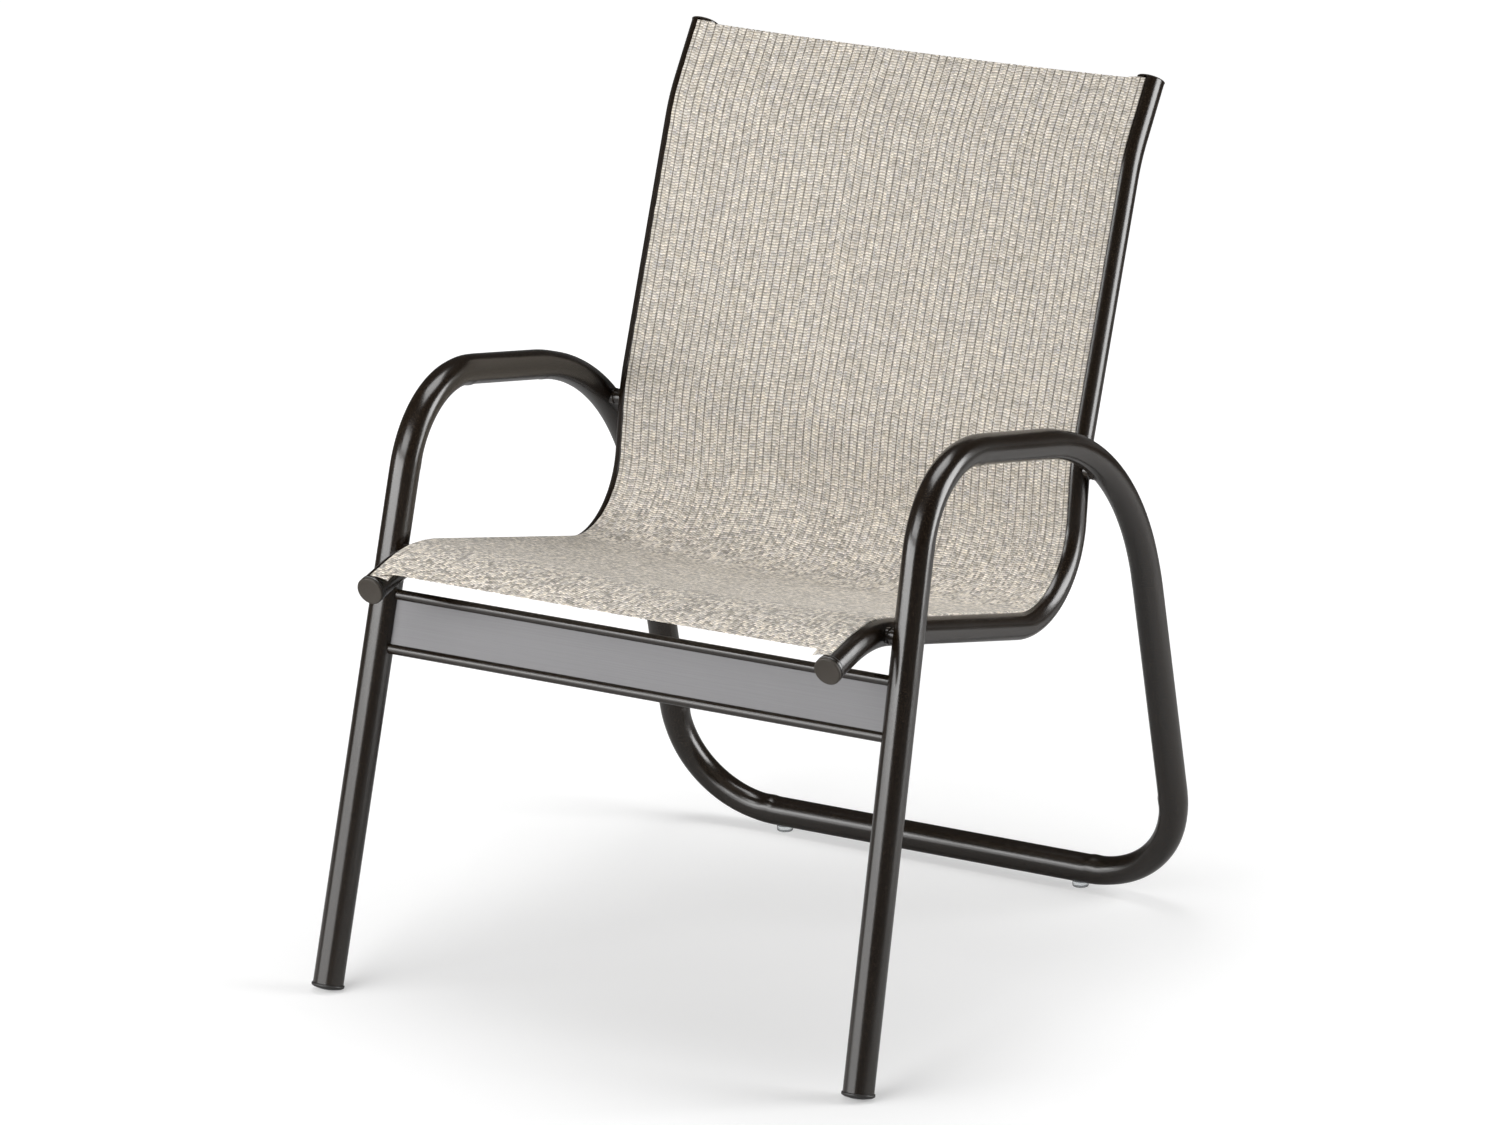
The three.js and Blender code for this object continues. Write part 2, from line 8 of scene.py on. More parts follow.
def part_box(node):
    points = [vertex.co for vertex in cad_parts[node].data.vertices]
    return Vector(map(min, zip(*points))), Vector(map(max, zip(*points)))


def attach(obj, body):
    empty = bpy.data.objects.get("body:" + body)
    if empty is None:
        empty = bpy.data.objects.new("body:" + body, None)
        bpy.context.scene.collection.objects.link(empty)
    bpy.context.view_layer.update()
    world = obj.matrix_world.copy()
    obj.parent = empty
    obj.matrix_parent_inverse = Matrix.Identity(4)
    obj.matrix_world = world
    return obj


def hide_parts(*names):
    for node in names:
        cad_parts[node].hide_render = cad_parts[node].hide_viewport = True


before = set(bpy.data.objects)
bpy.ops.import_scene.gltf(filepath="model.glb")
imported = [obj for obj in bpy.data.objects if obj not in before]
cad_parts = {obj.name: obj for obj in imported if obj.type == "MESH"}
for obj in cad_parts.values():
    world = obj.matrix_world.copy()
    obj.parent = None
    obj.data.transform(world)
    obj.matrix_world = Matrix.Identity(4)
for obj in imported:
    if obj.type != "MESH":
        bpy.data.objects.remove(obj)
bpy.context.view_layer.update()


# Camera
# It looks at the chair through a long lens from in front, on the sitter's left and a little above.
# Its place and lens agree with the edges of every tube in the photograph.
view_azimuth = math.radians(31.136)
view_elevation = math.radians(16.235)
view_distance = 8.1598
view_middle = Vector((0, 0.0088, 0.41657))
view_aside = -0.02096
view_lens_mm = 190.17
film_width_mm = 36
view_reach = 100

view_back = Vector((
    math.sin(view_azimuth) * math.cos(view_elevation),
    -math.cos(view_azimuth) * math.cos(view_elevation),
    math.sin(view_elevation),
))
view_right = Vector((math.cos(view_azimuth), math.sin(view_azimuth), 0))
view_up = view_back.cross(view_right)
camera = bpy.data.objects.new("camera", bpy.data.cameras.new("camera"))
camera.data.lens = view_lens_mm
camera.data.sensor_width = film_width_mm
camera.data.clip_end = view_reach
camera.matrix_world = Matrix((view_right, view_up, view_back)).transposed().to_4x4()
camera.location = view_middle + view_right * view_aside + view_back * view_distance
bpy.context.scene.collection.objects.link(camera)
bpy.context.scene.camera = camera


# Base tubes
# One loop of 1 1/4 in aluminium tube: front legs that turn over into arms, rear legs, a floor rail.
# Each half is bent on a mandrel, which flattens the bends and leaves clamp marks, then powder coated.
X_AXIS = Vector((1, 0, 0))
Z_AXIS = Vector((0, 0, 1))
base_tube_radius = 0.015875
base_tube_sides = 64
base_corners = [
    Vector((0.316, -0.34817, 0)),
    Vector((0.3005, -0.18717, 0.6225)),
    Vector((0.307, 0.21583, 0.5455)),
    Vector((0.309, 0.34783, 0.020975)),
    Vector((0, 0.34783, 0.020975)),
]
base_bends = [0.101, 0.267, 0.109]
leg_cut_above_floor = 0.0075
bend_flattening = 0.11
flattening_before = 0.014
flattening_after = 0.030
clamp_mark_height = 0.0012
clamp_mark_on_bend = 0.010
clamp_mark_on_straight = 0.004
clamp_mark_bend = 0.101
coat_bronze = (0.0072, 0.0040, 0.0017, 1)
coat_fleck = (0.034, 0.023, 0.014, 1)
coat_gloss = 0.72
coat_roughness = (0.19, 0.26)
coat_fleck_share = 0.1
coat_fleck_scale = 2300
coat_peel_scale = 420
coat_peel_height = 0.00004
coat_cloud_scale = 9
noise_span = (0.3, 0.7)

Station = namedtuple("Station", "place heading inward bent mark along side up")


def set_socket(tree, socket, value):
    """Links an output to the socket, or sets a plain value on it"""
    if isinstance(value, bpy.types.NodeSocket):
        tree.links.new(value, socket)
    else:
        socket.default_value = value


def add_node(tree, kind, inputs=None, **settings):
    """Shader node of a kind, with its settings and with its inputs set or linked by name"""
    node = tree.nodes.new("ShaderNode" + kind)
    for key, value in settings.items():
        setattr(node, key, value)
    for key, value in (inputs or {}).items():
        set_socket(tree, node.inputs[key], value)
    return node


def calc(tree, operation, *values):
    """Math node on one to three values"""
    node = tree.nodes.new("ShaderNodeMath")
    node.operation = operation
    for socket, value in zip(node.inputs, values):
        set_socket(tree, socket, value)
    return node.outputs[0]


def blend_colours(tree, share, first, second, how="MIX"):
    """Mix node between two colours"""
    node = tree.nodes.new("ShaderNodeMix")
    node.data_type = "RGBA"
    node.blend_type = how
    sockets = {s.identifier: s for s in node.inputs}
    set_socket(tree, sockets["Factor_Float"], share)
    set_socket(tree, sockets["A_Color"], first)
    set_socket(tree, sockets["B_Color"], second)
    return next(s for s in node.outputs if s.identifier == "Result_Color")


def remap(tree, value, start, end, low=0, high=1):
    """Value that runs from low to high while another runs from start to end"""
    return add_node(tree, "MapRange", {"Value": value, "From Min": start, "From Max": end,
                                       "To Min": low, "To Max": high}).outputs["Result"]


def noise_of(tree, place, scale, detail, **inputs):
    """Noise texture's factor, which keeps mostly to the noise span"""
    inputs.update(Vector=place, Scale=scale, Detail=detail)
    return add_node(tree, "TexNoise", inputs).outputs["Fac"]


def new_skin(name, inputs):
    """Empty node group with named inputs that will give a colour, a roughness and a height"""
    tree = bpy.data.node_groups.new(name, "ShaderNodeTree")
    for label, default in inputs.items():
        kind = "NodeSocketColor" if isinstance(default, tuple) else "NodeSocketFloat"
        tree.interface.new_socket(label, in_out="INPUT", socket_type=kind).default_value = default
    for label, kind in (("Colour", "Color"), ("Roughness", "Float"), ("Height", "Float")):
        tree.interface.new_socket(label, in_out="OUTPUT", socket_type="NodeSocket" + kind)
    return tree, tree.nodes.new("NodeGroupInput").outputs


def skin_gives(tree, colour, roughness, height):
    """Wires what a skin gives"""
    given = tree.nodes.new("NodeGroupOutput").inputs
    for label, value in (("Colour", colour), ("Roughness", roughness), ("Height", height)):
        tree.links.new(value, given[label])


def finish_of(name, **sockets):
    """Material with one Principled shader, whose plain sockets are set by name"""
    material = bpy.data.materials.new(name)
    material.use_nodes = True
    tree = material.node_tree
    shader = tree.nodes["Principled BSDF"]
    for key, value in sockets.items():
        shader.inputs[key.replace("_", " ")].default_value = value
    return material, tree, shader


def skinned(name, skin, inputs, height, strength=1.0, **sockets):
    """Material that takes its colour and roughness from a skin, and bumps of a height in metres"""
    material, tree, shader = finish_of(name, **sockets)
    given = add_node(tree, "Group", inputs, node_tree=skin).outputs
    bump = add_node(tree, "Bump", {"Height": given["Height"], "Distance": height, "Strength": strength})
    tree.links.new(given["Colour"], shader.inputs["Base Color"])
    tree.links.new(given["Roughness"], shader.inputs["Roughness"])
    tree.links.new(bump.outputs["Normal"], shader.inputs["Normal"])
    return material


# Powder coat over metal: an orange peel skin, fine bright flecks, and slow changes of gloss
powder_coat, coat_in = new_skin("powder coat", {
    "Coat": coat_bronze, "Fleck": coat_fleck, "Fleck Share": coat_fleck_share,
    "Gloss Low": coat_roughness[0], "Gloss High": coat_roughness[1]})
coat_place = add_node(powder_coat, "TexCoord").outputs["Object"]
coat_cells = add_node(powder_coat, "TexVoronoi", {"Vector": coat_place, "Scale": coat_fleck_scale})
coat_random = add_node(powder_coat, "SeparateColor", {"Color": coat_cells.outputs["Color"]}).outputs["Red"]
coat_is_fleck = calc(powder_coat, "LESS_THAN", coat_random, coat_in["Fleck Share"])
coat_cloud = noise_of(powder_coat, coat_place, coat_cloud_scale, detail=4)
skin_gives(powder_coat,
           blend_colours(powder_coat, coat_is_fleck, coat_in["Coat"], coat_in["Fleck"]),
           remap(powder_coat, coat_cloud, *noise_span, coat_in["Gloss Low"], coat_in["Gloss High"]),
           noise_of(powder_coat, coat_place, coat_peel_scale, detail=3))
bronze_coat = skinned("bronze powder coat", powder_coat, {}, coat_peel_height,
                      Specular_IOR_Level=coat_gloss)


def spaced(length, step, near=0.020, fine=0.002):
    """Distances along a run, close together near both its ends"""
    if length <= 3 * near:
        count = max(2, math.ceil(length / fine / 2))
        return [length * k / count for k in range(count + 1)]
    ends = [k * fine for k in range(round(near / fine))]
    count = max(1, math.ceil((length - 2 * near) / step))
    middle = [near + (length - 2 * near) * k / count for k in range(count + 1)]
    return ends + middle + [length - e for e in reversed(ends)]


def smooth_step(share):
    share = min(max(share, 0), 1)
    return share * share * (3 - 2 * share)


def bent_run(corners, radii, first_up, arc_step=0.005, straight_step=0.04):
    """Stations along a tube that is straight between its corners and bent to a radius at each"""
    runs, at = [], corners[0]
    for before, corner, after, radius in zip(corners, corners[1:], corners[2:], radii):
        come, go = (corner - before).normalized(), (after - corner).normalized()
        half = come.angle(go) / 2
        start = corner - come * radius * math.tan(half)
        runs.append((at, start, None, 0, 0))
        inward = (go - come * come.dot(go)).normalized()
        at = corner + go * radius * math.tan(half)
        runs.append((start, at, inward, radius, 2 * half))
    runs.append((at, corners[-1], None, 0, 0))

    stations, travelled, up = [], 0.0, first_up
    for k, (start, end, inward, radius, turn) in enumerate(runs):
        bend = inward is not None
        length = radius * turn if bend else (end - start).length
        for along in spaced(length, arc_step if bend else straight_step)[0 if k == 0 else 1:]:
            if bend:
                come = (runs[k - 1][1] - runs[k - 1][0]).normalized()
                angle = along / radius
                heading = come * math.cos(angle) + inward * math.sin(angle)
                to_centre = inward * math.cos(angle) - come * math.sin(angle)
                place = start + (inward - to_centre) * radius
                nearest = min(along, length - along)
                bent = smooth_step((nearest + flattening_before) / (flattening_before + flattening_after))
                mark = math.exp(-((nearest / clamp_mark_on_bend) ** 2)) * clamp_mark_bend / radius
            else:
                heading = (end - start).normalized()
                place = start + heading * along
                nearer_start = k > 0 and (along < length / 2 or k == len(runs) - 1)
                neighbour = runs[k - 1] if nearer_start else runs[min(k + 1, len(runs) - 1)]
                nearest = along if nearer_start else length - along
                to_centre = neighbour[2] or first_up
                if nearer_start:
                    came = (runs[k - 2][1] - runs[k - 2][0]).normalized()
                    to_centre = (neighbour[2] * math.cos(neighbour[4])
                                 - came * math.sin(neighbour[4]))
                bent = smooth_step((flattening_before - nearest) / (flattening_before + flattening_after))
                mark = (math.exp(-((nearest / clamp_mark_on_straight) ** 2)) * clamp_mark_bend
                        / neighbour[3])
            up = (up - heading * up.dot(heading)).normalized()
            stations.append(Station(place, heading, to_centre, bent, mark, travelled + along,
                                    heading.cross(up), up))
        travelled += length
    return stations


def circle(radius, sides):
    turn = 2 * math.pi / sides
    return [(radius * math.cos(turn * k), radius * math.sin(turn * k)) for k in range(sides)]


def add_piece(name, points, faces, material, uvs=None, sharp_angle=35):
    """Object of the finished chair, smooth except over sharp edges, that rides on the chair"""
    mesh = bpy.data.meshes.new(name)
    mesh.from_pydata([tuple(p) for p in points], [], faces)
    if uvs:
        layer = mesh.uv_layers.new(name="UVMap")
        layer.data.foreach_set("uv", [c for face in uvs for uv in face for c in uv])
    mesh.materials.append(material)
    mesh.shade_smooth()
    mesh.set_sharp_from_angle(angle=math.radians(sharp_angle))
    piece = bpy.data.objects.new(name, mesh)
    bpy.context.scene.collection.objects.link(piece)
    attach(piece, "root")
    return piece


def swept(name, stations, outline, material, flattening=0.0, mark_height=0.0):
    """Closed outline of (side, up) points that is carried along the stations"""
    count = len(outline)
    girth = [0.0]
    for (a, b), (c, d) in zip(outline, outline[1:] + outline[:1]):
        girth.append(girth[-1] + math.hypot(c - a, d - b))
    points = []
    for s in stations:
        for across, high in outline:
            offset = s.side * across + s.up * high
            inner = offset.dot(s.inward)
            if inner < 0:
                offset -= s.inward * inner * flattening * s.bent
            else:
                offset += s.inward * mark_height * s.mark * inner / offset.length
            points.append(s.place + offset)
    faces, uvs = [], []
    for row in range(len(stations) - 1):
        low, high = stations[row].along, stations[row + 1].along
        for k in range(count):
            n = (k + 1) % count
            a, b = row * count, (row + 1) * count
            faces.append((a + k, a + n, b + n, b + k))
            uvs.append(((girth[k], low), (girth[k + 1], low), (girth[k + 1], high), (girth[k], high)))
    last = (len(stations) - 1) * count
    faces.append(tuple(reversed(range(count))))
    faces.append(tuple(range(last, last + count)))
    uvs += [tuple((0.0, 0.0) for _ in range(count))] * 2
    return add_piece(name, points, faces, material, uvs)


def mirrored(vector):
    return Vector((-vector.x, vector.y, vector.z))


def on_side(side, vector):
    return vector if side == "left" else mirrored(vector)


sides_of_chair = ("left", "right")
leg_way = (base_corners[1] - base_corners[0]).normalized()
base_cut_corners = [base_corners[0] + leg_way * leg_cut_above_floor] + base_corners[1:]
for side in sides_of_chair:
    base_run = bent_run([on_side(side, c) for c in base_cut_corners], base_bends, Vector((0, -1, 0)))
    base_tube = swept(f"{side}_base_tube", base_run, circle(base_tube_radius, base_tube_sides),
                      bronze_coat, bend_flattening, clamp_mark_height)
    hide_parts(f"{side}_side_frame")


# Floor rail sleeve and rivet nuts
# Plain turned steel inside the tubes: the sleeve crosses the joint of the two base halves, and
# each rivet nut is pulled tight in the wall of the base tube. The solid model's shapes are kept.
steel_grey = (0.42, 0.42, 0.41, 1)
steel_dull = (0.27, 0.265, 0.255, 1)
steel_roughness = (0.26, 0.44)
steel_cloud_scale = 160
steel_grain_scale = 1500
steel_grain_height = 0.00003

plated_skin, plated_in = new_skin("plated steel", {"Bright": steel_grey, "Dull": steel_dull})
plated_place = add_node(plated_skin, "TexCoord").outputs["Object"]
plated_cloud = noise_of(plated_skin, plated_place, steel_cloud_scale, detail=5)
skin_gives(plated_skin,
           blend_colours(plated_skin, plated_cloud, plated_in["Dull"], plated_in["Bright"]),
           remap(plated_skin, plated_cloud, *noise_span, *steel_roughness),
           noise_of(plated_skin, plated_place, steel_grain_scale, detail=2))
plated_steel = skinned("plated steel", plated_skin, {}, steel_grain_height, Metallic=1.0)


def refinish(node, material):
    """Gives a kept solid of the chair a better material"""
    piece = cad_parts[node]
    piece.data.materials.clear()
    piece.data.materials.append(material)


refinish("floor_rail_sleeve", plated_steel)
for side in sides_of_chair:
    for place in ("front", "rear"):
        refinish(f"{side}_{place}_rivet_nut", plated_steel)


# Front stretcher
# A hollow aluminium extrusion with a round bead along its top and bottom, coped and welded
# between the front legs. Its flat face keeps the die's fine lengthwise lines under the coat.
stretcher_half_height = 0.0335
stretcher_bead_radius = 0.0055
stretcher_web_half = 0.0022
stretcher_share_up_leg = 0.6016
stretcher_into_leg_share = 0.6
bead_steps = 24
least_face_area = 0.01
# Both greys of the face, its coat and its die lines, are pale and paint the lamps' reflection in its flat
# coat;
face_painted_reflection = (0.105, 0.103, 0.108, 1)
# the coat itself is the same dark bronze as the tubes'. The die lines are the extrusion's own.
face_line = (0.160, 0.157, 0.163, 1)
face_roughness = (0.34, 0.48)
face_gloss = 0.5
face_line_scale = (9, 900, 900)
face_line_height = 0.00005

drawn_face, drawn_in = new_skin("extruded face", {"Coat": face_painted_reflection, "Line": face_line})
drawn_place = add_node(drawn_face, "TexCoord").outputs["Object"]
drawn_stretch = add_node(drawn_face, "Mapping", {"Vector": drawn_place, "Scale": face_line_scale})
drawn_lines = noise_of(drawn_face, drawn_stretch.outputs["Vector"], 1, detail=3, Roughness=0.6)
skin_gives(drawn_face,
           blend_colours(drawn_face, drawn_lines, drawn_in["Coat"], drawn_in["Line"]),
           remap(drawn_face, drawn_lines, *noise_span, *face_roughness),
           drawn_lines)
stretcher_coat_with_painted_reflection = skinned("coated extrusion", drawn_face, {}, face_line_height,
                         Specular_IOR_Level=face_gloss)

bead_up = stretcher_half_height - stretcher_bead_radius
web_angle = math.asin(stretcher_web_half / stretcher_bead_radius)
bead_turns = 2 * math.pi - 2 * web_angle
stretcher_outline = []
for middle, first in ((bead_up, web_angle - math.pi / 2), (-bead_up, web_angle + math.pi / 2)):
    for k in range(bead_steps + 1):
        angle = first + bead_turns * k / bead_steps
        stretcher_outline.append((stretcher_bead_radius * math.cos(angle),
                                  middle + stretcher_bead_radius * math.sin(angle)))
stretcher_middle = base_corners[0].lerp(base_corners[1], stretcher_share_up_leg)
stretcher_half_run = stretcher_middle.x - base_tube_radius * stretcher_into_leg_share
stretcher_ends = [Vector((x, stretcher_middle.y, stretcher_middle.z))
                  for x in (-stretcher_half_run, stretcher_half_run)]
leg_up = Vector((0, leg_way.y, leg_way.z)).normalized()
stretcher_run = [Station(p, X_AXIS, leg_up, 0.0, 0.0, p.x, X_AXIS.cross(leg_up), leg_up)
                 for p in stretcher_ends]
stretcher = swept("stretcher_face", stretcher_run, stretcher_outline, stretcher_coat_with_painted_reflection)
stretcher.data.materials.append(bronze_coat)
# The flat face takes the grey with the painted reflection, and the beads take the plain bronze coat.
for face in stretcher.data.polygons:
    face.material_index = 0 if face.area > least_face_area else 1
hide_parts("front_stretcher")


# Sling rails
# Two round extrusions of 28.6 mm with a keyhole channel that opens to the sitter through a
# narrow slot. They are bent at the knee, the back of the seat, the lumbar and the shoulder.
rail_radius = 0.0143
rail_aside = 0.2688
rail_corners = [
    Vector((rail_aside, -0.32667, 0.431)),
    Vector((rail_aside, -0.25317, 0.4505)),
    Vector((rail_aside, 0.15283, 0.355)),
    Vector((rail_aside, 0.17433, 0.531)),
    Vector((rail_aside, 0.27483, 0.823)),
    Vector((rail_aside, 0.32233, 0.896)),
]
rail_bends = [0.17, 0.096, 0.23, 0.17]
channel_radius = 0.0036
channel_up = 0.0089
slot_half = 0.0012
slot_lip = 0.0004
rail_steps = 72
channel_steps = 20

lip_angle = math.asin((slot_half + slot_lip) / rail_radius)
mouth_angle = math.asin(slot_half / channel_radius)
lip_up = math.sqrt(rail_radius ** 2 - slot_half ** 2) - slot_lip
rail_outline = [(-slot_half, lip_up)]
for k in range(rail_steps + 1):
    angle = math.pi / 2 + lip_angle + (2 * math.pi - 2 * lip_angle) * k / rail_steps
    rail_outline.append((rail_radius * math.cos(angle), rail_radius * math.sin(angle)))
rail_outline.append((slot_half, lip_up))
for k in range(channel_steps + 1):
    angle = math.pi / 2 - mouth_angle - (2 * math.pi - 2 * mouth_angle) * k / channel_steps
    rail_outline.append((channel_radius * math.cos(angle), channel_up + channel_radius * math.sin(angle)))

rail_run = bent_run(rail_corners, rail_bends, Z_AXIS)
for side in sides_of_chair:
    run = rail_run if side == "left" else bent_run([mirrored(c) for c in rail_corners], rail_bends, Z_AXIS)
    rail = swept(f"{side}_channel_rail", run, rail_outline, bronze_coat)
    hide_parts(f"{side}_sling_rail")


# Spacers and screws between the rails and the base
# A coated aluminium spacer with two collars keeps each rail off the base tube. A button head
# screw goes through it from the inner side of the rail into the rivet nut.
spacer_radius = 0.00875
spacer_groove = 0.0013
spacer_corner = 0.0004
screw_head_radius = 0.0055
screw_head_height = 0.0032
screw_radius = 0.003
screw_socket_half = 0.002
screw_socket_depth = 0.0018
screw_socket_edge = 0.0001
screw_socket_mouth_share = 1.2
screw_dome_shares = [(0.62, 0.08), (0.82, 0.28), (0.95, 0.55), (1, 0.85), (1, 1)]
screw_tip = 0.0005
hexagon = 6


def turned(name, profile, place, way, material, floor=None, sharp_angle=35, sides=56):
    """Round piece about an axis. The profile lists (radius, distance along the axis), and a third
    number makes that ring a polygon with so many flats. Nothing of it goes under a given floor"""
    turn = Z_AXIS.rotation_difference(way)
    points, rings = [], []
    for radius, reach, *flats in profile:
        if radius == 0:
            rings.append([len(points)] * sides)
            points.append(place + turn @ Vector((0, 0, reach)))
            continue
        rings.append(list(range(len(points), len(points) + sides)))
        for k in range(sides):
            angle = 2 * math.pi * k / sides
            out = radius
            if flats:
                flat = 2 * math.pi / flats[0]
                out = radius / math.cos((angle + flat / 2) % flat - flat / 2)
            points.append(place + turn @ Vector((out * math.cos(angle), out * math.sin(angle), reach)))
    faces = []
    for low, high in zip(rings, rings[1:]):
        for k in range(sides):
            n = (k + 1) % sides
            corners = [low[k], low[n], high[n], high[k]]
            faces.append(tuple(dict.fromkeys(corners)))
    if floor is not None:
        for p in points:
            p.z = max(p.z, floor)
    return add_piece(name, points, faces, material, sharp_angle=sharp_angle)


for side in sides_of_chair:
    for place in ("front", "rear"):
        low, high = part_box(f"{side}_{place}_spacer")
        axis_at = Vector(((low[0] + high[0]) / 2, (low[1] + high[1]) / 2, (low[2] + high[2]) / 2))
        half = (high[0] - low[0]) / 2
        groove, corner = spacer_groove, spacer_corner
        spacer = turned(f"{side}_{place}_collar_spacer", [
            (0, -half), (spacer_radius, -half), (spacer_radius, -groove - corner),
            (spacer_radius - corner, -groove), (spacer_radius - groove, -groove / 2),
            (spacer_radius - groove, groove / 2), (spacer_radius - corner, groove),
            (spacer_radius, groove + corner), (spacer_radius, half), (0, half),
        ], axis_at, X_AXIS, bronze_coat)
        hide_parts(f"{side}_{place}_spacer")

        low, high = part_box(f"{side}_{place}_bolt")
        outward = X_AXIS if side == "left" else -X_AXIS
        shank_length = high[0] - low[0] - screw_head_height
        seat = Vector(((low[0] if side == "left" else high[0]), axis_at.y, axis_at.z))
        head, tip = screw_head_height, screw_head_height + shank_length
        screw = turned(f"{side}_{place}_button_screw", [
            (0, screw_socket_depth), (screw_socket_half, screw_socket_depth, hexagon),
            (screw_socket_half, screw_socket_edge, hexagon),
            (screw_socket_half * screw_socket_mouth_share, 0),
            *((screw_head_radius * out, head * down) for out, down in screw_dome_shares),
            (screw_radius, head), (screw_radius, tip - screw_tip), (screw_radius - screw_tip, tip),
            (0, tip),
        ], seat, outward, plated_steel)
        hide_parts(f"{side}_{place}_bolt")


# Spreader bars and their saddles
# A bowed tube under the seat and another behind the back hold the rails apart against the pull
# of the sling. Each end sits in a moulded nylon saddle that pegs into the rail.
bar_radius = 0.0095
bar_bow = 0.024
bar_end_run = 0.034
bar_bend = 0.13
bar_sides = 40
seat_bar_share = 0.56
back_bar_share = 0.6
bar_places = {
    "seat": (rail_corners[1].lerp(rail_corners[2], seat_bar_share), rail_corners[2] - rail_corners[1]),
    "back": (rail_corners[3].lerp(rail_corners[4], back_bar_share), rail_corners[4] - rail_corners[3]),
}
saddle_radius = 0.0113
saddle_start = 0.010
saddle_end = 0.0313
saddle_socket = 0.009
saddle_clearance = 0.0001
saddle_flange = 0.0006
saddle_flange_end = 0.0172
saddle_neck = 0.0182
saddle_rounding = [(0, 0.0012), (0.0005, 0.0003), (0.0012, 0)]
nylon_black = (0.018, 0.0165, 0.0155, 1)
nylon_scuff = (0.040, 0.038, 0.036, 1)
nylon_scuff_share = 0.3
nylon_roughness = 0.36
nylon_grain_scale = 1300
nylon_grain_height = 0.00003
nylon_cloud_scale = 85
nylon_cloud_roughness = 0.14

# Moulded plastic: a fine spark-eroded texture, slow clouding and slight scuffing that follows the clouding
moulded_skin, moulded_in = new_skin("moulded plastic", {
    "Plastic": nylon_black, "Scuff": nylon_scuff, "Scuff Share": nylon_scuff_share,
    "Roughness": nylon_roughness})
moulded_place = add_node(moulded_skin, "TexCoord").outputs["Object"]
moulded_cloud = noise_of(moulded_skin, moulded_place, nylon_cloud_scale, detail=5)
moulded_worn = calc(moulded_skin, "MULTIPLY", moulded_cloud, moulded_in["Scuff Share"])
skin_gives(moulded_skin,
           blend_colours(moulded_skin, moulded_worn, moulded_in["Plastic"], moulded_in["Scuff"]),
           calc(moulded_skin, "MULTIPLY_ADD", moulded_cloud, nylon_cloud_roughness,
                moulded_in["Roughness"]),
           noise_of(moulded_skin, moulded_place, nylon_grain_scale, detail=2))


def moulded(name, plastic, scuff, scuff_share, roughness, grain_height, **sockets):
    """Moulded plastic finish of a colour"""
    inputs = {"Plastic": plastic, "Scuff": scuff, "Scuff Share": scuff_share, "Roughness": roughness}
    return skinned(name, moulded_skin, inputs, grain_height, **sockets)


black_nylon = skinned("black nylon", moulded_skin, {}, nylon_grain_height)

for place, (at, way) in bar_places.items():
    bar_up = X_AXIS.cross(way).normalized()
    bar_half = rail_aside - saddle_end + saddle_socket
    bend_at = bar_half - bar_end_run
    bar_points = [(-bar_half, 0), (-bend_at, 0), (-bend_at / 2, bar_bow),
                  (bend_at / 2, bar_bow), (bend_at, 0), (bar_half, 0)]
    bar_corners = [Vector((x, at.y, at.z)) - bar_up * bow for x, bow in bar_points]
    bar = swept(f"{place}_bowed_bar", bent_run(bar_corners, [bar_bend] * 4, bar_up),
                circle(bar_radius, bar_sides), bronze_coat)
    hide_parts(f"{place}_spreader_bar")
    for side in sides_of_chair:
        inward = -X_AXIS if side == "left" else X_AXIS
        flange, bore = saddle_radius + saddle_flange, bar_radius + saddle_clearance
        saddle = turned(f"{side}_{place}_saddle", [
            (0, saddle_start), (flange, saddle_start), (flange, saddle_flange_end),
            (saddle_radius, saddle_neck),
            *((saddle_radius - into, saddle_end - down) for into, down in saddle_rounding),
            (bore, saddle_end), (bore, saddle_end - saddle_socket), (0, saddle_end - saddle_socket),
        ], on_side(side, at), inward, black_nylon)
        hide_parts(f"{side}_{place}_bar_saddle")


# Rail end caps
# Taupe nylon plugs pushed into the rails. Each has a flat face with a rounded rim. The front
# ones stand off a coated collar round the rail's end, and the top ones are thin.
cap_taupe = (0.028, 0.0215, 0.0150, 1)
cap_taupe_pale = (0.046, 0.038, 0.029, 1)
cap_rim = 0.0148
cap_groove = 0.0009
cap_groove_width = 0.0008
cap_groove_rounding = [(0.0003, 0.0002), (0, 0.0006)]
cap_rounding = [(0, 0.0010), (0.0003, 0.0005), (0.0009, 0.0001), (0.0016, 0), (0.0024, 0.0002)]
cap_dish = 0.0002
cap_scuff_share = 0.35
cap_roughness = 0.46
front_cap_reach = 0.0040
collar_length = 0.0033
collar_bore = rail_radius + 0.0001
collar_rim = cap_rim + 0.0001
collar_edge = 0.0003
collar_gap = 0.0002
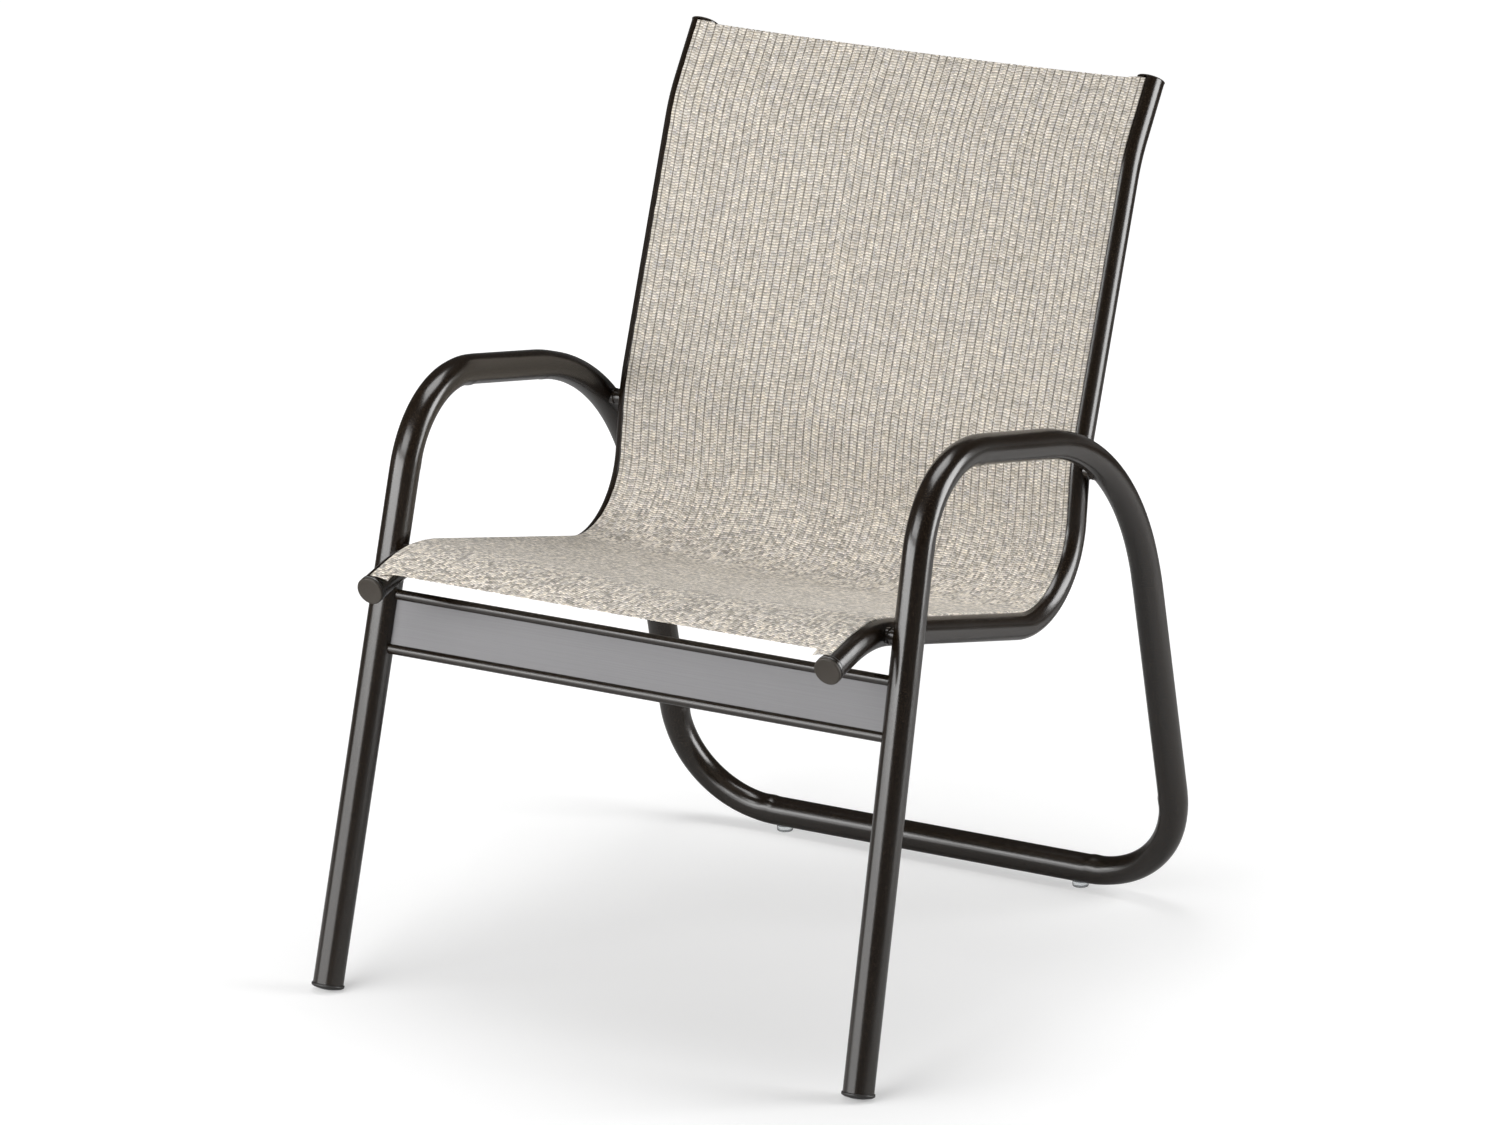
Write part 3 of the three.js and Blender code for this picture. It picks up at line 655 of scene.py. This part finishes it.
# A black ring behind the collar, and black in the groove before the face, paint the grooves' shade there.
painted_shade_ring_length = 0.0012
painted_shade_ring_rim = rail_radius + 0.0004
painted_shade_below = 0.0009
top_cap_reach = 0.0012
top_cap_edge = 0.0003
top_cap_rounding = [(0, 0.0005), (0.0003, 0.0002), (0.0008, 0)]
taupe_nylon = moulded("taupe nylon", cap_taupe, cap_taupe_pale, cap_scuff_share, cap_roughness,
                      nylon_grain_height)
front_cap_profile = [
    (0, collar_gap), (collar_bore, collar_gap), (collar_bore, -collar_length - painted_shade_ring_length),
    (painted_shade_ring_rim, -collar_length - painted_shade_ring_length), (painted_shade_ring_rim, -collar_length),
    (collar_rim - collar_edge, -collar_length), (collar_rim, -collar_length + collar_edge),
    (collar_rim, -collar_gap - collar_edge), (cap_rim - collar_edge, -collar_gap),
    (cap_rim - cap_groove, 0), (cap_rim - cap_groove, cap_groove_width),
    *((cap_rim - into, cap_groove_width + out) for into, out in cap_groove_rounding),
    *((cap_rim - into, front_cap_reach - down) for into, down in cap_rounding),
    (0, front_cap_reach - cap_dish),
]
top_cap_profile = [
    (0, 0), (cap_rim - top_cap_edge, 0), (cap_rim, top_cap_edge),
    *((cap_rim - into, top_cap_reach - down) for into, down in top_cap_rounding), (0, top_cap_reach),
]
for side in sides_of_chair:
    for place, station, sign, profile in (("front", rail_run[0], -1, front_cap_profile),
                                          ("top", rail_run[-1], 1, top_cap_profile)):
        rail_end, cap_way = on_side(side, station.place), on_side(side, station.heading * sign)
        cap = turned(f"{side}_{place}_end_plug", profile, rail_end, cap_way, taupe_nylon)
        cap.data.materials.append(bronze_coat)
        cap.data.materials.append(black_nylon)
        # Below the face the collar takes the coat, and the painted shade ring and the groove take black
        # nylon.
        for face in cap.data.polygons:
            reach = (face.center - rail_end).dot(cap_way)
            if place == "front" and reach < painted_shade_below:
                face.material_index = 1 if -collar_length < reach < -collar_edge else 2
        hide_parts(f"{side}_rail_{place}_cap")


# Front feet
# Black nylon inserts in the square cut ends of the legs. A thin flange a little wider than the
# tube shows below the cut, and the sole is crowned and worn flat where it stands.
foot_flange_radius = 0.017075
foot_flange_reach = 0.0034
foot_gap = 0.0003
foot_crown = 0.0026
foot_sole_shares = [(0, 1.25), (0.5, 0.85), (0.85, 0.33)]
foot_edge_share = 0.95
foot_edge = (0.0001, 0.0009)
foot_corner = 0.0005
foot_sharp_angle = 50
foot_stem_radius = 0.0135
foot_stem_reach = 0.024
flange_low = leg_cut_above_floor - foot_gap - foot_flange_reach
flange_high = flange_low + foot_flange_reach
for side in sides_of_chair:
    rim = foot_flange_radius
    foot = turned(f"{side}_foot_insert", [
        *((rim * out, flange_low - foot_crown * down) for out, down in foot_sole_shares),
        (rim * foot_edge_share, flange_low + foot_edge[0]), (rim, flange_low + foot_edge[1]),
        (rim, flange_high - foot_corner), (rim - foot_corner, flange_high), (foot_stem_radius, flange_high),
        (foot_stem_radius, foot_stem_reach), (0, foot_stem_reach),
    ], on_side(side, base_corners[0]), on_side(side, leg_way), black_nylon, 0.0, foot_sharp_angle)
    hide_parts(f"{side}_front_foot")


# Rear glides
# Clear polycarbonate pads that keep the floor rail off the ground. Each is moulded to fit the rail's
# underside, and has a pin that goes up through the wall of the tube.
glide_radius = 0.00875
glide_seat_height = 0.0125
glide_rounding = [(0.0012, 0), (0.0004, 0.0004), (0, 0.0012)]
glide_milk = (0.86, 0.89, 0.90, 1)
glide_haze = (0.74, 0.78, 0.80, 1)
glide_haze_share = 0.8
glide_roughness = 0.12
glide_grain_height = 0.00002
clear_plastic = moulded("clear polycarbonate", glide_milk, glide_haze, glide_haze_share, glide_roughness,
                        glide_grain_height, IOR=1.58, Transmission_Weight=0.85)
for side in sides_of_chair:
    low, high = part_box(f"{side}_rear_glide")
    glide_at = Vector(((low[0] + high[0]) / 2, (low[1] + high[1]) / 2, 0))
    glide = turned(f"{side}_clear_glide", [
        (0, 0), *((glide_radius - into, up) for into, up in glide_rounding),
        (glide_radius, glide_seat_height), (0, glide_seat_height),
    ], glide_at, Z_AXIS, clear_plastic)
    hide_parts(f"{side}_rear_glide")


# Splines
# Extruded plastic rods in the side hems of the sling. They are thicker than the channel's slot, and so
# hold the sling in the rails. The solid model's shapes are kept.
spline_ivory = (0.62, 0.60, 0.55, 1)
spline_pale = (0.70, 0.68, 0.63, 1)
spline_pale_share = 0.5
spline_roughness = 0.42
ivory_plastic = moulded("extruded spline", spline_ivory, spline_pale, spline_pale_share, spline_roughness,
                        nylon_grain_height)
for side in sides_of_chair:
    refinish(f"{side}_sling_spline", ivory_plastic)


# Sling
# One length of woven mesh, of polyester yarns coated in beige, sand and cool grey, stretched from
# rail to rail. Each side hem wraps its spline and comes back under the edge as a narrow flap.
sling_thickness = 0.0006
sling_inset_front = 0.011
sling_inset_top = 0.005
hem_reach_front = 0.0075
hem_reach_top = 0.0019
hem_reach_fade = 0.02
hem_reach_from = 0.004
hem_reach_to = 0.021
hem_flap_width = 0.018
hem_flap_flat = 0.004
hem_flap_aside = 0.0012
hem_flap_up = 0.0005
hem_flap_steps = 9
hem_flap_droop = 0.0035
hem_droop_inside_share = 0.4
hem_droop_fade = 0.02
hem_way_down = [(-0.0008, 0.0002), (-0.0005, -0.0006)]
hem_loop_radius = 0.0028
hem_loop_from = math.radians(101)
hem_loop_turn = math.radians(338)
hem_loop_steps = 12
hem_way_up = [(0.0005, -0.0006), (0.0005, 0.0003), (0.0002, 0.0009)]
hem_points = hem_flap_steps + len(hem_way_down) + hem_loop_steps + 1
hem_sharp_angle = 80
sling_rise = rail_radius + 0.0012
sling_start_aside = rail_aside - 0.0006
sling_step_across = 0.0024
sling_step_along = 0.004
sling_fine_end = 0.006
sling_fine_step = 0.001
sling_sags = [(0, 0.0008), (0.18, 0.0098), (0.42, 0.0075), (0.52, 0.0055), (0.62, 0.0065),
              (0.85, 0.0088), (1, 0.0090)]
fray_reach = 0.0005
fray_fade = 0.0015
fray_pace = 1.7
edge_wave = 0.0003
edge_wave_pace = 900
edge_wave_band = 0.0031
yarn_pitch = 0.00155
pick_pitch = 0.0015
rib_pitch = 0.0093
ribs_on_back = (0.40, 0.58)
# The hollows between the ribs are bumped in, and their dark colour paints the shade in them;
rib_shade_on_seat = 0.12
# that painted shade is kept faint on the seat, which the light reaches from above.
rib_fade_share = 0.35
sling_cream = (0.595, 0.553, 0.490, 1)
sling_sand = (0.485, 0.430, 0.345, 1)
sling_grey = (0.44, 0.425, 0.430, 1)
sling_rib_shade = (0.10, 0.085, 0.065, 1)
pick_shade = (0.74, 0.72, 0.69, 1)
yarn_shows = (-0.6, 0.5)
pick_relief = 0.35
yarn_tint_paces = (7.31, 70)
pick_tint_paces = (5.17, 42)
slub_paces = (3.31, 16)
slub_light = (1, 0.8)
slub_from = 0.75
speck_on_back = 0.52
speck_more_on_seat = 0.55
streak_dots = 3
streak_seed = 7
weave_relief = 0.0002
weave_relief_share = 0.8
# In each of these pairs: how much it varies, and its lowest value
yarn_relief = (0.45, 0.55)
streak_light = (0.12, 0.94)
# Painted shade: the weave's colour is darker where its threads lie low, in the hollows between them.
hollow_painted_shade = (0.5, 0.75)
yarn_roughness = (0.12, 0.5)

sling_weave, weave_in = new_skin("sling weave", {
    "Cream": sling_cream, "Sand": sling_sand, "Grey": sling_grey, "Rib Shade": sling_rib_shade,
    "Yarn Pitch": yarn_pitch, "Pick Pitch": pick_pitch, "Rib Pitch": rib_pitch})
w = sling_weave
weave_place = add_node(w, "SeparateXYZ", {"Vector": add_node(w, "UVMap").outputs["UV"]})
weave_across, weave_along = weave_place.outputs["X"], weave_place.outputs["Y"]
yarn_count = calc(w, "DIVIDE", weave_across, weave_in["Yarn Pitch"])
pick_count = calc(w, "DIVIDE", weave_along, weave_in["Pick Pitch"])
seat_share = remap(w, weave_along, *ribs_on_back, 1, 0)
yarn_number, pick_number = calc(w, "FLOOR", yarn_count), calc(w, "FLOOR", pick_count)
yarn_round = calc(w, "SINE", calc(w, "MULTIPLY", calc(w, "FRACT", yarn_count), math.pi))
pick_round = calc(w, "SINE", calc(w, "MULTIPLY", calc(w, "FRACT", pick_count), math.pi))
column = calc(w, "FLOOR", calc(w, "DIVIDE", yarn_count, 2))
column_shift = add_node(w, "TexWhiteNoise", {"W": column}, noise_dimensions="1D").outputs["Value"]
dot_count = calc(w, "ADD", calc(w, "DIVIDE", pick_count, 2), column_shift)
dot_wave = calc(w, "SINE", calc(w, "MULTIPLY", dot_count, 2 * math.pi))
yarn_on_top = remap(w, dot_wave, *yarn_shows)
yarn_height = calc(w, "MULTIPLY", yarn_on_top, calc(w, "MULTIPLY_ADD", yarn_round, *yarn_relief))
pick_height = calc(w, "MULTIPLY", calc(w, "SUBTRACT", 1, yarn_on_top),
                   calc(w, "MULTIPLY", pick_round, pick_relief))
weave_height = calc(w, "ADD", yarn_height, pick_height)


def melange(tree, number, run, spread, run_scale):
    """Changing tint along a space dyed yarn with a number, from 0 to 1"""
    where = add_node(tree, "CombineXYZ", {
        "X": calc(tree, "MULTIPLY", number, spread), "Y": calc(tree, "MULTIPLY", run, run_scale)})
    return remap(tree, noise_of(tree, where.outputs["Vector"], 1, detail=2, Roughness=0.6), *noise_span)


def three_tints(tree, share, low, middle, high):
    """Colour from low through middle to high"""
    first, second = remap(tree, share, 0, 0.5), remap(tree, share, 0.5, 1)
    return blend_colours(tree, second, blend_colours(tree, first, low, middle), high)


tints = [weave_in[label] for label in ("Grey", "Cream", "Sand")]
yarn_tint = three_tints(w, melange(w, yarn_number, weave_along, *yarn_tint_paces), *tints)
pick_tint = three_tints(w, melange(w, pick_number, weave_across, *pick_tint_paces), *tints)
pick_shaded = blend_colours(w, 1.0, pick_tint, pick_shade, "MULTIPLY")
thread_colour = blend_colours(w, yarn_on_top, pick_shaded, yarn_tint)
speck_where = add_node(w, "CombineXYZ", {"X": column, "Y": calc(w, "FLOOR", dot_count)}).outputs["Vector"]
speck = add_node(w, "TexWhiteNoise", {"Vector": speck_where}, noise_dimensions="2D").outputs["Value"]
speck_range = calc(w, "MULTIPLY_ADD", seat_share, speck_more_on_seat, speck_on_back)
speck_light = calc(w, "MULTIPLY_ADD", calc(w, "SUBTRACT", speck, 0.5), speck_range, 1.0)
streak_where = add_node(w, "CombineXYZ", {
    "X": column, "Y": calc(w, "FLOOR", calc(w, "DIVIDE", dot_count, streak_dots)), "Z": streak_seed})
streak = add_node(w, "TexWhiteNoise", {"Vector": streak_where.outputs["Vector"]}).outputs["Value"]
slub = remap(w, melange(w, pick_number, weave_across, *slub_paces), slub_from, 1, *slub_light)
uneven_light = calc(w, "MULTIPLY", calc(w, "MULTIPLY_ADD", streak, *streak_light), slub)
# The lower a thread lies the darker it is, which paints the hollows' shade; speck, streak and slub are the
# yarns' tone.
weave_painted_shade = calc(w, "MULTIPLY_ADD", weave_height, *hollow_painted_shade)
thread_tone_and_painted_shade = calc(w, "MULTIPLY", calc(w, "MULTIPLY", speck_light, weave_painted_shade), uneven_light)
thread_shaded = add_node(w, "VectorMath", {"Vector": thread_colour, "Scale": thread_tone_and_painted_shade},
                         operation="SCALE").outputs["Vector"]


def rib_shade_line(offset, half_width, dash_pace, low, high, dash_spread=3.7):
    """Broken dark line of painted shade in the hollow between the ribs, from 0 to 1"""
    ribs = calc(w, "ADD", calc(w, "DIVIDE", weave_across, weave_in["Rib Pitch"]), offset)
    aside = calc(w, "ABSOLUTE", calc(w, "SUBTRACT", calc(w, "FRACT", ribs), 0.5))
    line = remap(w, aside, half_width, half_width * rib_fade_share)
    dash = melange(w, calc(w, "FLOOR", ribs), weave_along, dash_spread, dash_pace)
    return calc(w, "MULTIPLY", line, remap(w, dash, 0, 1, low, high))


# Painted shade in the rib hollows, strong on the back and faint on the seat, where the light comes from
# above.
main_rib_shade = rib_shade_line(offset=0, half_width=0.12, dash_pace=110, low=0.6, high=1)
lesser_rib_shade = rib_shade_line(offset=0.5, half_width=0.05, dash_pace=200, low=0, high=0.5)
rib_shade_share = calc(w, "MULTIPLY_ADD", seat_share, rib_shade_on_seat - 1, 1)
all_rib_shade = calc(w, "MULTIPLY", calc(w, "MAXIMUM", main_rib_shade, lesser_rib_shade), rib_shade_share)
skin_gives(w,
           blend_colours(w, all_rib_shade, thread_shaded, weave_in["Rib Shade"]),
           calc(w, "MULTIPLY_ADD", speck, *yarn_roughness),
           calc(w, "SUBTRACT", weave_height, all_rib_shade))
sling_fabric = skinned("woven sling mesh", sling_weave, {}, weave_relief, weave_relief_share,
                       Specular_IOR_Level=0.35, Sheen_Weight=0.08, Sheen_Roughness=0.5)


def between(pairs, at):
    """Value at a place in a list of (place, value) pairs, with smooth steps between them"""
    for (a, low), (b, high) in zip(pairs, pairs[1:]):
        if at <= b:
            return low + (high - low) * smooth_step((at - a) / (b - a))
    return pairs[-1][1]


def ragged(seed):
    """Repeatable uneven number from -1 to 1"""
    fast, slow, lead = 12.9898, 4.1414, 1.3
    return math.sin(seed * fast) * math.cos(seed * slow + lead)


def sling_section(sag, flap_droop):
    """Points (aside, up) over half the sling, from the flap's free edge to the middle"""
    points = []
    for k in range(hem_flap_steps):
        inner = hem_flap_width * (1 - k / hem_flap_steps)
        off_rail = max(0.0, inner - hem_flap_flat) / (hem_flap_width - hem_flap_flat)
        points.append((rail_aside - inner - hem_flap_aside,
                       rail_radius + hem_flap_up - flap_droop * off_rail ** 2))
    points += [(rail_aside + out, rail_radius + up) for out, up in hem_way_down]
    for k in range(hem_loop_steps + 1):
        angle = hem_loop_from + hem_loop_turn * k / hem_loop_steps
        points.append((rail_aside + hem_loop_radius * math.cos(angle),
                       channel_up + hem_loop_radius * math.sin(angle)))
    points += [(rail_aside + out, rail_radius + up) for out, up in hem_way_up]
    points.append((sling_start_aside, sling_rise))
    spans = round(rail_aside / sling_step_across)
    for k in range(1, spans + 1):
        aside = sling_start_aside * (1 - k / spans)
        points.append((aside, sling_rise - sag * (1 - (aside / rail_aside) ** 2)))
    return points


sling_length = rail_run[-1].along - sling_inset_front - sling_inset_top


def rail_at(along):
    """Place, heading and up of the rail's middle line at a distance from the sling's front edge"""
    target = min(max(along + sling_inset_front, 0), rail_run[-1].along)
    for a, b in zip(rail_run, rail_run[1:]):
        if target <= b.along:
            share = (target - a.along) / max(b.along - a.along, 1e-9)
            return a.place.lerp(b.place, share), a.heading.lerp(b.heading, share), a.up.lerp(b.up, share)
    return rail_run[-1].place, rail_run[-1].heading, rail_run[-1].up


sling_rows = spaced(sling_length, sling_step_along, sling_fine_end, sling_fine_step)
sling_points, sling_uvs = [], []
for along in sling_rows:
    place, heading, up = rail_at(along)
    from_end = min(along, sling_length - along)
    droop_fade = math.exp(-from_end / hem_droop_fade)
    droop = hem_flap_droop * (hem_droop_inside_share + (1 - hem_droop_inside_share) * droop_fade)
    half_section = sling_section(between(sling_sags, along / sling_length), droop)
    half_girth = sum(math.dist(a, b) for a, b in zip(half_section, half_section[1:]))
    section = half_section + [(-a, h) for a, h in reversed(half_section[:-1])]
    girth, last = 0.0, section[0]
    for k, (aside, high) in enumerate(section):
        girth += math.dist((aside, high), last)
        last = (aside, high)
        if abs(abs(aside) - rail_aside) < edge_wave_band and high > rail_radius:
            aside += edge_wave * ragged(along * edge_wave_pace) * math.copysign(1, aside)
        fray = fray_reach * ragged(k * fray_pace) * math.exp(-from_end / fray_fade)
        in_hem = min(k, len(section) - 1 - k) < hem_points
        off_rail = rail_aside - abs(aside) - hem_reach_from
        cover = 1 if in_hem else 1 - smooth_step(off_rail / (hem_reach_to - hem_reach_from))
        cover *= max(0.0, 1 - from_end / hem_reach_fade)
        shift = fray - hem_reach_front * cover if along < sling_length / 2 else hem_reach_top * cover - fray
        point = Vector((aside, place.y, place.z)) + up.normalized() * high
        sling_points.append(point + heading * shift)
        sling_uvs.append((girth - half_girth, along + shift))
sling_width = len(section)
sling_faces = [
    (r * sling_width + k, r * sling_width + k + 1, (r + 1) * sling_width + k + 1, (r + 1) * sling_width + k)
    for r in range(len(sling_rows) - 1) for k in range(sling_width - 1)
]
sling = add_piece("stretched_sling", sling_points, sling_faces, sling_fabric,
                  [[sling_uvs[v] for v in face] for face in sling_faces], hem_sharp_angle)
sling_body = sling.modifiers.new("thickness", "SOLIDIFY")
sling_body.thickness = sling_thickness
sling_body.offset = 0
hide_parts("sling_panel")


# Studio
# A pale floor, a dim ceiling and five soft boxes: three in front, one over the other, one behind and
# beside, one above. For the lens, also through clear plastic, the floor is lifted, less near the front,
# where that paints a soft shadow on it.
white = (1, 1, 1, 1)
floor_half = 30
floor_grey = (0.55, 0.55, 0.55, 1)
floor_roughness = 0.9
floor_gloss = 0.1
# Round the painted shadow's middle, in front of the chair, the lift is low and paints a soft shadow there;
floor_lift = (0.08, 0.95)
# far off the lift makes the floor white.
painted_shadow_middle = Vector((0.1, -0.3, -0.25))
floor_lift_reach = 2.6
floor_lift_curve = 0.6
ceiling_starts = (0.09, 0.2)
ceiling_light = (0.18, 0.05)
lamp_aim = Vector((0, 0, 0.45))
# Place, width, height and watts of each box
lamps = {
    "low": (Vector((-0.95, -2.1, 0.33)), 2.7, 0.65, 15),
    "key": (Vector((-0.95, -2.1, 1.0)), 2.7, 0.65, 37),
    "core": (Vector((-0.52, -1.9, 1.75)), 1.6, 0.6, 16),
    "side": (Vector((2.15, 0.9, 1.0)), 1.2, 1.7, 56),
    "top": (Vector((-0.2, 0.1, 3.2)), 1.6, 1.6, 41),
}

floor_mesh = bpy.data.meshes.new("floor")
floor_mesh.from_pydata([(-floor_half, -floor_half, 0), (floor_half, -floor_half, 0),
                        (floor_half, floor_half, 0), (-floor_half, floor_half, 0)], [], [(0, 1, 2, 3)])
floor = bpy.data.objects.new("floor", floor_mesh)
bpy.context.scene.collection.objects.link(floor)

floor_paper, paper_tree, paper_shader = finish_of(
    "floor paper", Roughness=floor_roughness, Specular_IOR_Level=floor_gloss, Base_Color=floor_grey,
    Emission_Color=white)
paper_ray = add_node(paper_tree, "LightPath").outputs
paper_seen = calc(paper_tree, "MAXIMUM", paper_ray["Is Camera Ray"], paper_ray["Is Transmission Ray"])
paper_place = add_node(paper_tree, "TexCoord").outputs["Object"]
paper_away = add_node(paper_tree, "VectorMath", {0: paper_place, 1: painted_shadow_middle},
                      operation="DISTANCE")
paper_share = calc(paper_tree, "POWER", remap(paper_tree, paper_away.outputs["Value"], 0, floor_lift_reach),
                   floor_lift_curve)
paper_lift = calc(paper_tree, "MULTIPLY", paper_seen, remap(paper_tree, paper_share, 0, 1, *floor_lift))
paper_tree.links.new(paper_lift, paper_shader.inputs["Emission Strength"])
floor_mesh.materials.append(floor_paper)

world = bpy.data.worlds.new("studio")
world.use_nodes = True
bpy.context.scene.world = world
air = world.node_tree
air_shader = air.nodes["Background"]
air_shader.inputs["Color"].default_value = white
air_way = add_node(air, "SeparateXYZ", {"Vector": add_node(air, "TexCoord").outputs["Generated"]})
air_light = remap(air, air_way.outputs["Z"], *ceiling_starts, *ceiling_light)
air_seen = add_node(air, "LightPath").outputs["Is Camera Ray"]
air.links.new(calc(air, "MAXIMUM", air_seen, air_light), air_shader.inputs["Strength"])

for name, (at, wide, high, power) in lamps.items():
    lamp = bpy.data.objects.new(f"{name}_lamp", bpy.data.lights.new(f"{name}_lamp", "AREA"))
    lamp.data.shape = "RECTANGLE"
    lamp.data.size = wide
    lamp.data.size_y = high
    lamp.data.energy = power
    lamp.location = at
    lamp.rotation_mode = "QUATERNION"
    lamp.rotation_quaternion = (lamp_aim - at).to_track_quat("-Z", "Y")
    bpy.context.scene.collection.objects.link(lamp)

bpy.context.scene.view_settings.view_transform = "Standard"
